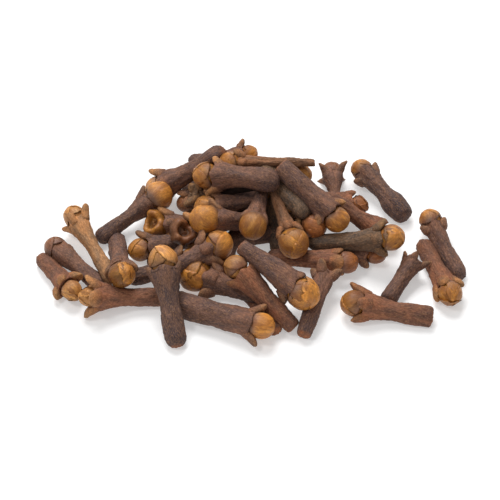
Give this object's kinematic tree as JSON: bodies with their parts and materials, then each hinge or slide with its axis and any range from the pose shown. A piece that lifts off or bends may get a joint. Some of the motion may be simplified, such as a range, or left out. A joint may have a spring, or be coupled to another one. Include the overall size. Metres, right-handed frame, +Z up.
{
  "type": "heap of whole cloves",
  "caption": "Loose heap of dried whole cloves with round buds, pointed sepals and slim stems, spilled on a flat surface with a few cloves lying apart.",
  "frame": {"origin": "centre of the heap and its loose cloves on the flat surface they lie on", "axes": "+X along the spread of the heap, towards the cloves that lie apart; +Y across it, away from the open front edge; +Z up"},
  "size_m": [0.0708, 0.0424, 0.0125],
  "materials": {
    "clove_stem": "dry wrinkled dark brown skin of the stems and sepals",
    "clove_bud": "matt tan to orange-brown folded petals of the buds"
  },
  "bodies": {
    "root": {"clove_heap": "clove_stem", "loose_clove_1": "clove_stem", "loose_clove_2": "clove_stem", "loose_clove_3": "clove_stem", "loose_clove_4": "clove_stem", "loose_clove_5": "clove_stem"}
  },
  "joints": []
}
